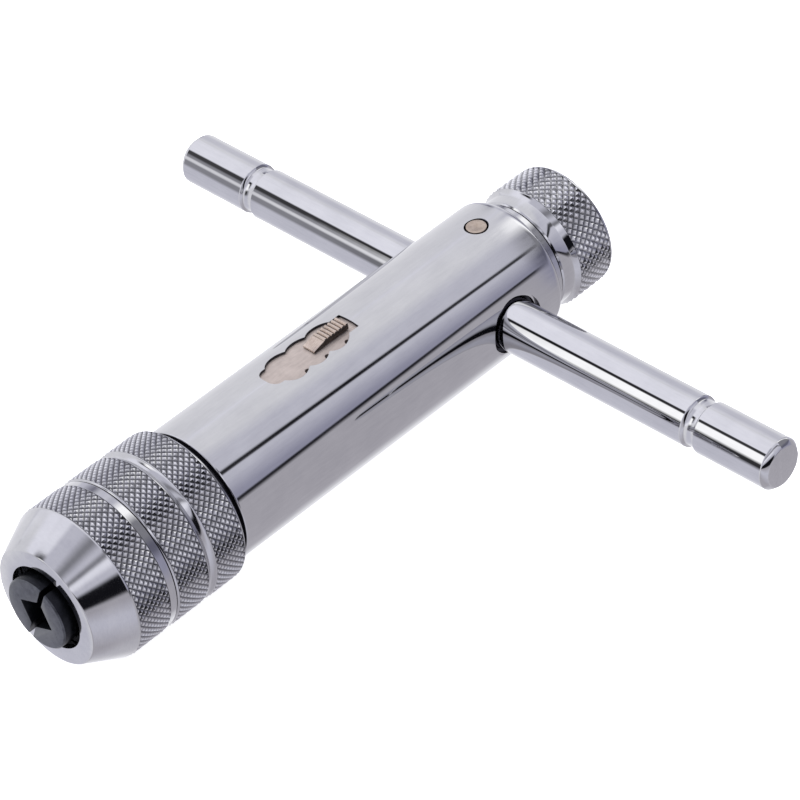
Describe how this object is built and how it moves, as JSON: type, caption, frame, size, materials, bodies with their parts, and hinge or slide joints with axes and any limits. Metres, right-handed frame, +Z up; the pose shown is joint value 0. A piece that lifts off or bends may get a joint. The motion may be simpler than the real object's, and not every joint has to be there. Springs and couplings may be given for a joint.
{
  "type": "tap wrench",
  "caption": "Ratcheting T-handle tap wrench: chromed body, sliding T-bar, slide selector, two-jaw chuck with knurled sleeves and a knurled clamp knob.",
  "frame": {"origin": "centre of the bounding box at its lowest level, the tool lying with its axis level and its selector up", "axes": "+Y along the tool axis from the jaws to the clamp knob, +X along the T-bar, +Z up through the selector"},
  "size_m": [0.1076, 0.0992, 0.0226],
  "materials": {
    "chrome": "bright chrome plate",
    "knurled_chrome": "chrome plate over a diamond knurl",
    "steel": "machined steel",
    "hardened_steel": "hardened steel",
    "black_oxide": "black oxide",
    "bronze": "sintered bronze",
    "nickel": "dull nickel with a warm tint",
    "copper": "dull copper",
    "spring_steel": "spring wire"
  },
  "bodies": {
    "housing": {"housing": "chrome", "front_bush": "bronze", "thrust_washer": "steel", "ratchet_frame": "steel", "pawl_pin_forward": "steel", "pawl_pin_reverse": "steel", "pawl_spring_forward": "spring_steel", "pawl_spring_reverse": "spring_steel", "selector_spring": "spring_steel", "guide_pin": "copper", "knob_snap_ring": "spring_steel"},
    "spindle": {"spindle": "black_oxide", "ratchet_wheel": "hardened_steel", "wheel_pin": "steel", "spindle_circlip": "spring_steel", "rear_sleeve": "knurled_chrome", "nose_snap_ring": "spring_steel", "jaw_spring": "spring_steel"},
    "nose": {"nose_sleeve": "knurled_chrome"},
    "cone": {"closing_ring": "black_oxide"},
    "jaw_r": {"jaw_right": "black_oxide"},
    "jaw_l": {"jaw_left": "black_oxide"},
    "selector": {"selector_plate": "nickel", "selector_button": "nickel"},
    "pawl_f": {"pawl_forward": "hardened_steel"},
    "pawl_v": {"pawl_reverse": "hardened_steel"},
    "detent": {"selector_ball": "hardened_steel"},
    "bar": {"t_bar": "chrome"},
    "knob": {"clamp_knob": "knurled_chrome"},
    "plunger": {"clamp_plunger": "steel", "detent_spring": "spring_steel"},
    "bar_ball": {"detent_ball": "steel"}
  },
  "joints": [
    {"name": "spindle_spin", "type": "hinge", "parent": "housing", "child": "spindle", "pos_m": [-0.00205, 0.02935, 0.01132], "axis": [0, 1, 0], "continuous": true},
    {"name": "nose_turn", "type": "hinge", "parent": "spindle", "child": "nose", "pos_m": [-0.00205, 0.02935, 0.01132], "axis": [0, 1, 0], "range_deg": [-432, 168]},
    {"name": "cone_slide", "type": "slide", "parent": "spindle", "child": "cone", "axis": [0, 1, 0], "range_m": [-0.00181, 0.00071]},
    {"name": "jaw_right_slide", "type": "slide", "parent": "spindle", "child": "jaw_r", "axis": [0.9191, 0, -0.3939], "range_m": [-0.00035, 0.0009]},
    {"name": "jaw_left_slide", "type": "slide", "parent": "spindle", "child": "jaw_l", "axis": [-0.9191, 0, 0.3939], "range_m": [-0.00035, 0.0009]},
    {"name": "selector_slide", "type": "slide", "parent": "housing", "child": "selector", "axis": [0, -1, 0], "range_m": [0, 0.0074]},
    {"name": "pawl_forward_rock", "type": "hinge", "parent": "housing", "child": "pawl_f", "pos_m": [0.00375, 0.00125, 0.01547], "axis": [0, 1, 0], "range_deg": [0, 8.01], "deforming": ["pawl_spring_forward"]},
    {"name": "pawl_reverse_rock", "type": "hinge", "parent": "housing", "child": "pawl_v", "pos_m": [-0.00785, 0.00125, 0.01547], "axis": [0, 1, 0], "range_deg": [0, 8.01], "deforming": ["pawl_spring_reverse"]},
    {"name": "selector_ball_press", "type": "slide", "parent": "housing", "child": "detent", "axis": [0, 0, -1], "range_m": [0, 0.0003], "stiffness_N_per_m": 100, "deforming": ["selector_spring"]},
    {"name": "bar_slide", "type": "slide", "parent": "housing", "child": "bar", "axis": [1, 0, 0], "range_m": [-0.04265, 0.03855]},
    {"name": "knob_turn", "type": "hinge", "parent": "housing", "child": "knob", "pos_m": [-0.00205, 0.02935, 0.01132], "axis": [0, -1, 0], "range_deg": [-360, 90]},
    {"name": "plunger_slide", "type": "slide", "parent": "housing", "child": "plunger", "axis": [0, -1, 0], "range_m": [-0.00101, 0.00025]},
    {"name": "bar_ball_press", "type": "slide", "parent": "housing", "child": "bar_ball", "axis": [0, 1, 0], "range_m": [0, 0.00015], "stiffness_N_per_m": 100}
  ],
  "couplings": [
    {"joint": "cone_slide", "follows": "nose_turn", "m_per_rad": 0.00023873},
    {"joint": "jaw_right_slide", "follows": "nose_turn", "m_per_rad": -0.00011937},
    {"joint": "jaw_left_slide", "follows": "nose_turn", "m_per_rad": -0.00011937},
    {"joint": "pawl_forward_rock", "follows": "selector_slide", "rad_per_m": 18.868},
    {"joint": "pawl_reverse_rock", "follows": "selector_slide", "rad_per_m": 18.868},
    {"joint": "plunger_slide", "follows": "knob_turn", "m_per_rad": 0.00015915}
  ]
}
